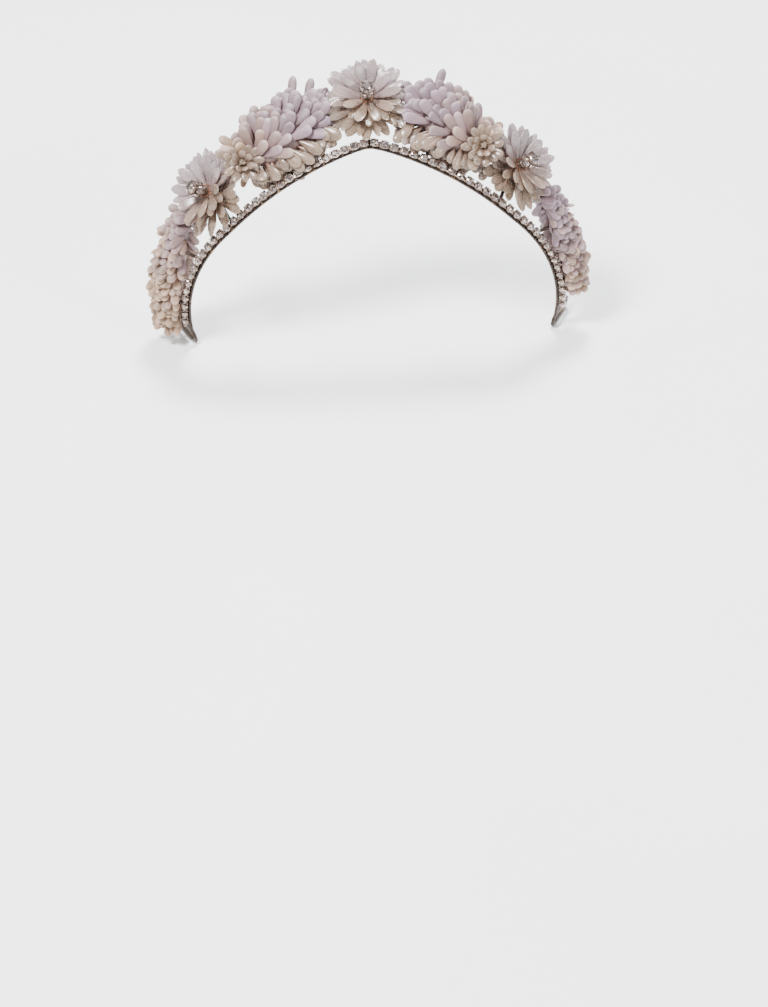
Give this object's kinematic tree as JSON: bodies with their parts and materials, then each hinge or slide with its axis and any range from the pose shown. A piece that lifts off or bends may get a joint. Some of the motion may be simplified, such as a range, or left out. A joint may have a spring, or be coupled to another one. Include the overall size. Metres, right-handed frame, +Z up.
{
  "type": "tiara",
  "caption": "Curved tiara band with a row of set rhinestones, crystal daisies and sprays of small matte petals.",
  "frame": {"origin": "centre of the bounding box on the floor that the two end loops of the band stand on", "axes": "+X to the wearer's left as seen from the front, the right of the picture; -Y to the viewer; +Z up, from the band's ends to the middle daisy"},
  "size_m": [0.1814, 0.0392, 0.116],
  "materials": {
    "antique_gold": "dark antique plating, satin",
    "rhinestone": "faceted clear stones in silvery cups",
    "crystal_petal": "clear and glossy, champagne to lilac",
    "matte_petal": "soft matte, pale lilac to champagne"
  },
  "bodies": {
    "root": {"band": "antique_gold", "chain_left": "rhinestone", "chain_right": "rhinestone", "daisy_left_back": "crystal_petal", "daisy_left_front": "crystal_petal", "daisy_left_button": "rhinestone", "daisy_centre_back": "crystal_petal", "daisy_centre_front": "crystal_petal", "daisy_centre_button": "rhinestone", "daisy_right_back": "crystal_petal", "daisy_right_front": "crystal_petal", "daisy_right_button": "rhinestone", "spray_upper_left": "matte_petal", "spray_upper_right": "matte_petal", "spray_lower_left": "matte_petal", "spray_lower_right": "matte_petal"}
  },
  "joints": []
}
